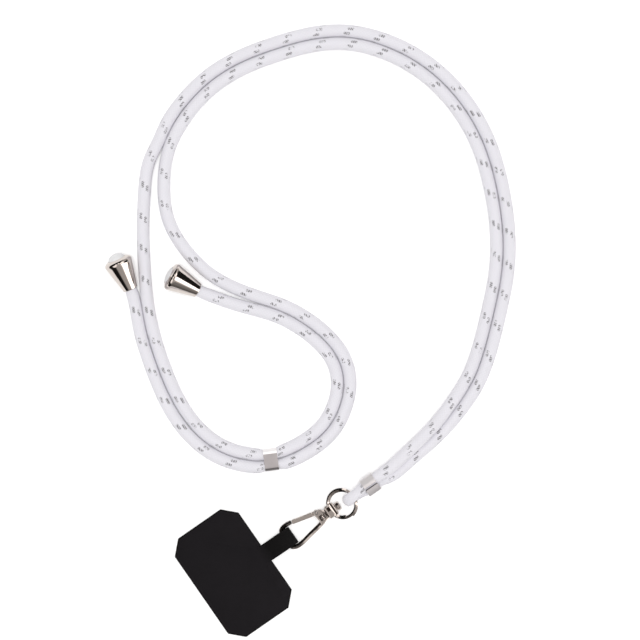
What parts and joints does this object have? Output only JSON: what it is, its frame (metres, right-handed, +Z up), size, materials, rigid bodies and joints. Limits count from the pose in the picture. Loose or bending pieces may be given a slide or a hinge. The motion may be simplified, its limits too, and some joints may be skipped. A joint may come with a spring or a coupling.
{
  "type": "phone crossbody strap",
  "caption": "Braided cord folded double through a split ring, with crimp, slider clip and bell ends, a swivel snap hook, and a thin tether patch that goes behind a phone.",
  "frame": {"origin": "on the table under the middle of the box round the metal and cloth pieces, with the cord left out", "axes": "+Z up from the table that the strap lies on, +X to the right of the laid-out strap, +Y towards the top of its big loop"},
  "size_m": [0.2078, 0.31, 0.0138],
  "materials": {
    "cord": "smooth tight braid, white with a lilac tint and small silver-grey flecks",
    "plug": "satin white",
    "nickel": "polished warm nickel plate",
    "clip": "satin grey plate",
    "patch": "near-black coated cloth with a faint weave"
  },
  "bodies": {
    "strap": {"cord_outer_run": "cord", "cord_inner_run": "cord", "cord_fold": "cord", "ring_crimp": "clip", "slider_clip": "clip", "bell_left": "nickel", "bell_right": "nickel", "bell_plug_left": "plug", "bell_plug_right": "plug", "split_ring": "nickel", "swivel_eye": "nickel"},
    "clasp": {"hook": "nickel", "gate_pin": "nickel", "tether_patch": "patch"},
    "gate": {"gate": "nickel"}
  },
  "joints": [
    {"name": "swivel", "type": "hinge", "parent": "strap", "child": "clasp", "pos_m": [0.04191, -0.03453, 0.0023], "axis": [0.8221, 0.5693, 0], "continuous": true},
    {"name": "gate_hinge", "type": "hinge", "parent": "clasp", "child": "gate", "pos_m": [0.0367, -0.03412, 0.0023], "axis": [0, 0, 1], "range_deg": [0, 25], "stiffness_Nm_per_rad": 0.01, "springref_deg": -11.46}
  ]
}
